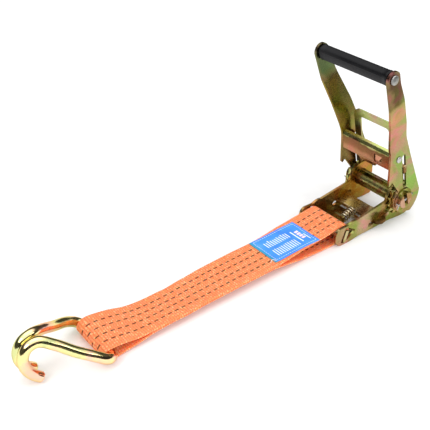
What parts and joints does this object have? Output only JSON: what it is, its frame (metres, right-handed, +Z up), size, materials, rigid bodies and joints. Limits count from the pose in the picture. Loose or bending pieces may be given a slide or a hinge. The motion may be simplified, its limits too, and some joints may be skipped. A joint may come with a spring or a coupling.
{
  "type": "ratchet strap",
  "caption": "Fixed end of a ratchet strap: wide-handled ratchet tensioner with a short doubled, stitched webbing strap, a sewn label and a double claw hook.",
  "frame": {"origin": "middle of the footprint, on the surface the strap lies on", "axes": "+X from the hook to the ratchet, +Z up, +Y across the strap along the spool"},
  "size_m": [0.4982, 0.1064, 0.2096],
  "materials": {
    "frame_zinc": "yellow chromate over zinc, satin, faint pink and green bloom",
    "handle_zinc": "yellow chromate over zinc, satin, pink and green bloom",
    "spool_zinc": "yellow chromate over zinc, satin",
    "wheel_zinc": "yellow chromate over zinc, satin",
    "pawl_zinc": "yellow chromate over zinc, satin",
    "trigger_zinc": "yellow chromate over zinc, light green cast",
    "hook_zinc": "yellow chromate over zinc, glossy",
    "spring_steel": "drawn spring wire",
    "bright_steel": "bright, turned",
    "grip_plastic": "satin black moulding",
    "webbing": "woven polyester, orange with dark tracer dashes",
    "label": "coated woven label, blue with a white sewn border"
  },
  "bodies": {
    "frame": {"frame_side_near": "frame_zinc", "frame_side_far": "frame_zinc", "frame_cross_plate": "frame_zinc", "anchor_bar": "frame_zinc", "lock_spring": "spring_steel"},
    "lock_pawl": {"lock_pawl": "pawl_zinc"},
    "spool": {"spool_bar_upper": "spool_zinc", "spool_bar_lower": "spool_zinc", "ratchet_wheel_near": "wheel_zinc", "ratchet_wheel_far": "wheel_zinc", "spool_washer_near": "frame_zinc", "spool_washer_far": "frame_zinc", "split_pin_near": "bright_steel", "split_pin_far": "bright_steel"},
    "handle": {"handle_plate_near": "handle_zinc", "handle_plate_far": "handle_zinc", "handle_bridge": "handle_zinc", "bridge_rivet_near": "bright_steel", "bridge_rivet_far": "bright_steel", "grip_rod": "bright_steel", "grip_sleeve": "grip_plastic", "drive_spring": "spring_steel"},
    "drive_pawl": {"drive_pawl": "pawl_zinc", "release_trigger": "trigger_zinc"},
    "strap": {"webbing": "webbing", "label": "label"},
    "hook": {"claw_hook": "hook_zinc"}
  },
  "joints": [
    {"name": "handle_pivot", "type": "hinge", "parent": "frame", "child": "handle", "pos_m": [0.21984, 0, 0.0315], "axis": [0, 1, 0], "range_deg": [-58, 110]},
    {"name": "spool_spin", "type": "hinge", "parent": "frame", "child": "spool", "pos_m": [0.21984, 0, 0.0315], "axis": [0, 1, 0], "continuous": true},
    {"name": "drive_pawl_slide", "type": "slide", "parent": "handle", "child": "drive_pawl", "axis": [-0.2334, 0, 0.9724], "range_m": [0, 0.005], "stiffness_N_per_m": 900, "springref_m": -0.004, "deforming": ["drive_spring"]},
    {"name": "lock_pawl_slide", "type": "slide", "parent": "frame", "child": "lock_pawl", "axis": [-0.9659, 0, -0.2588], "range_m": [0, 0.006], "stiffness_N_per_m": 900, "springref_m": -0.004, "deforming": ["lock_spring"]},
    {"name": "strap_swing", "type": "hinge", "parent": "frame", "child": "strap", "pos_m": [0.13484, 0, 0.0116], "axis": [0, 1, 0], "range_deg": [-60, 20]},
    {"name": "hook_swing", "type": "hinge", "parent": "strap", "child": "hook", "pos_m": [-0.16966, 0, 0.0084], "axis": [0, 1, 0], "range_deg": [-45, 75]}
  ]
}
